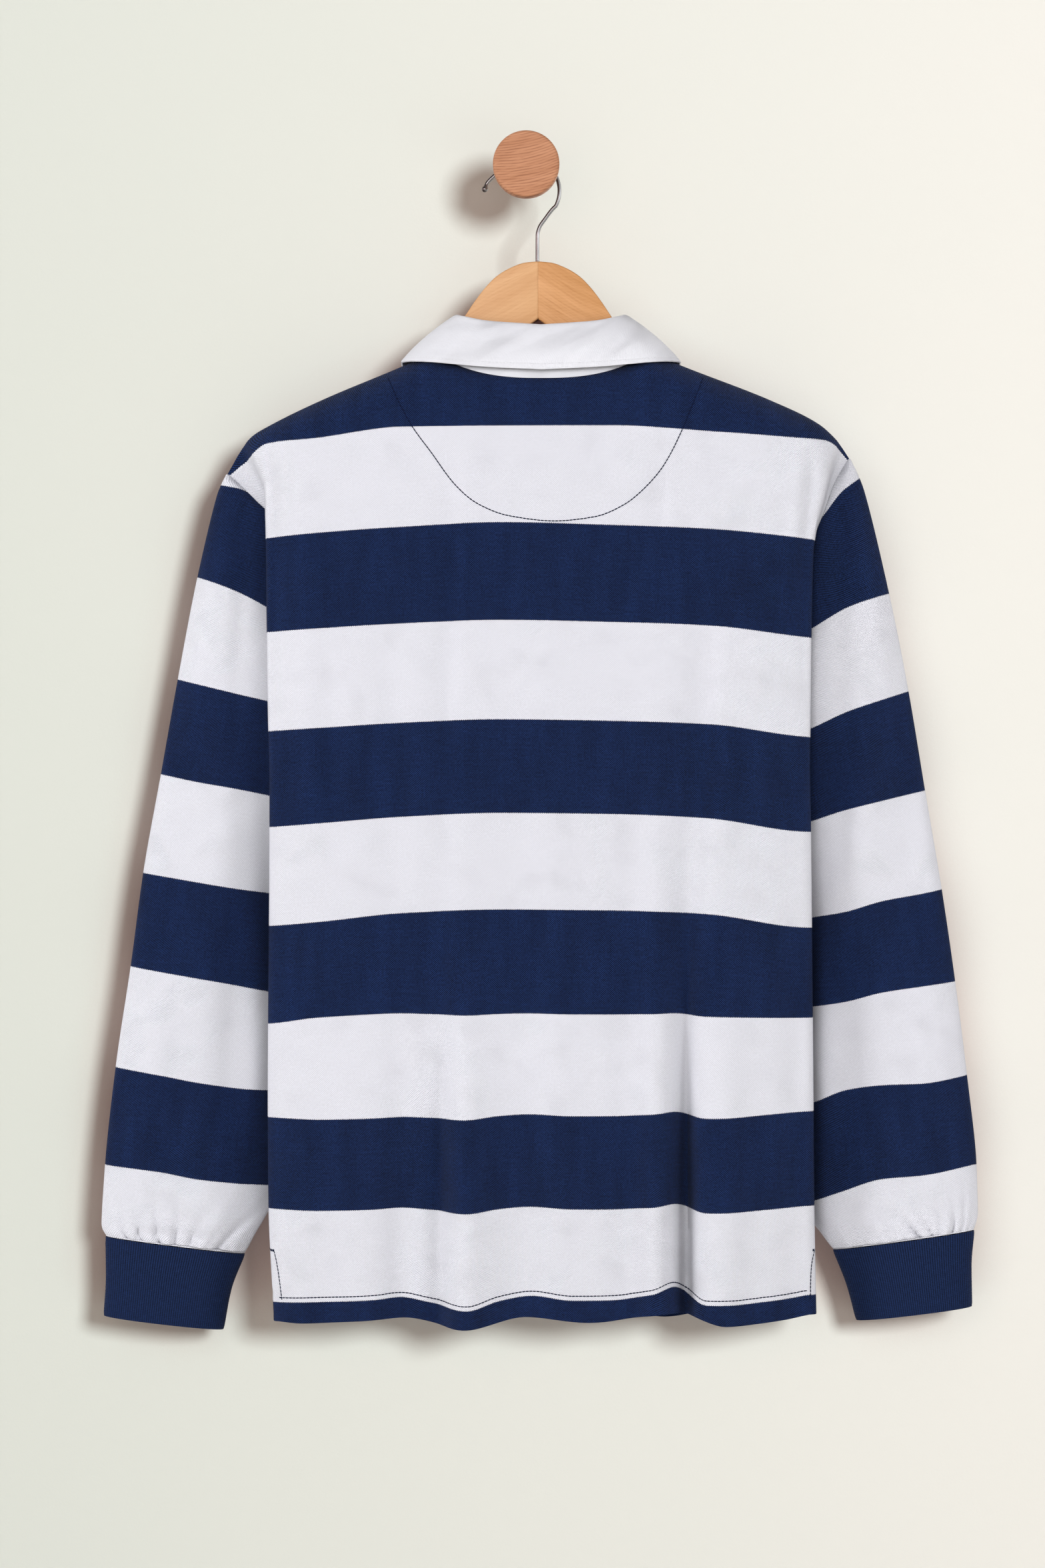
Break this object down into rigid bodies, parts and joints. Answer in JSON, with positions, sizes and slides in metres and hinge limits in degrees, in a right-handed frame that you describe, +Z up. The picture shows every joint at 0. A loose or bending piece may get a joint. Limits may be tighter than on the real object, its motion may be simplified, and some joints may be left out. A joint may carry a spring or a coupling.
{
  "type": "rugby shirt on hanger and wall peg",
  "caption": "Long-sleeved hooped rugby shirt with a white collar and navy rib cuffs, hung back outwards on a contoured wooden hanger whose wire hook hangs on a round wooden wall peg.",
  "frame": {"origin": "centre of the peg's flat rear face, on the wall", "axes": "+Z up, +Y into the wall, +X to the right of someone who faces the wall"},
  "size_m": [0.6666, 0.0934, 0.9062],
  "materials": {
    "jersey": "matte heavy cotton knit in navy and white hoops",
    "navy_rib": "matte rib knit",
    "collar_twill": "matte woven cotton",
    "button": "satin",
    "hanger_wood": "satin varnish",
    "peg_wood": "satin",
    "chrome": "polished"
  },
  "bodies": {
    "root": {"back_panel": "jersey", "front_panel": "jersey", "sleeve_left": "jersey", "sleeve_right": "jersey", "cuff_left": "navy_rib", "cuff_right": "navy_rib", "collar_stand": "collar_twill", "collar_fall": "collar_twill", "placket_over": "collar_twill", "placket_under": "collar_twill", "button_1": "button", "button_2": "button", "button_3": "button", "hanger_arm_left": "hanger_wood", "hanger_arm_right": "hanger_wood", "hanger_hook": "chrome", "wall_peg": "peg_wood"}
  },
  "joints": []
}
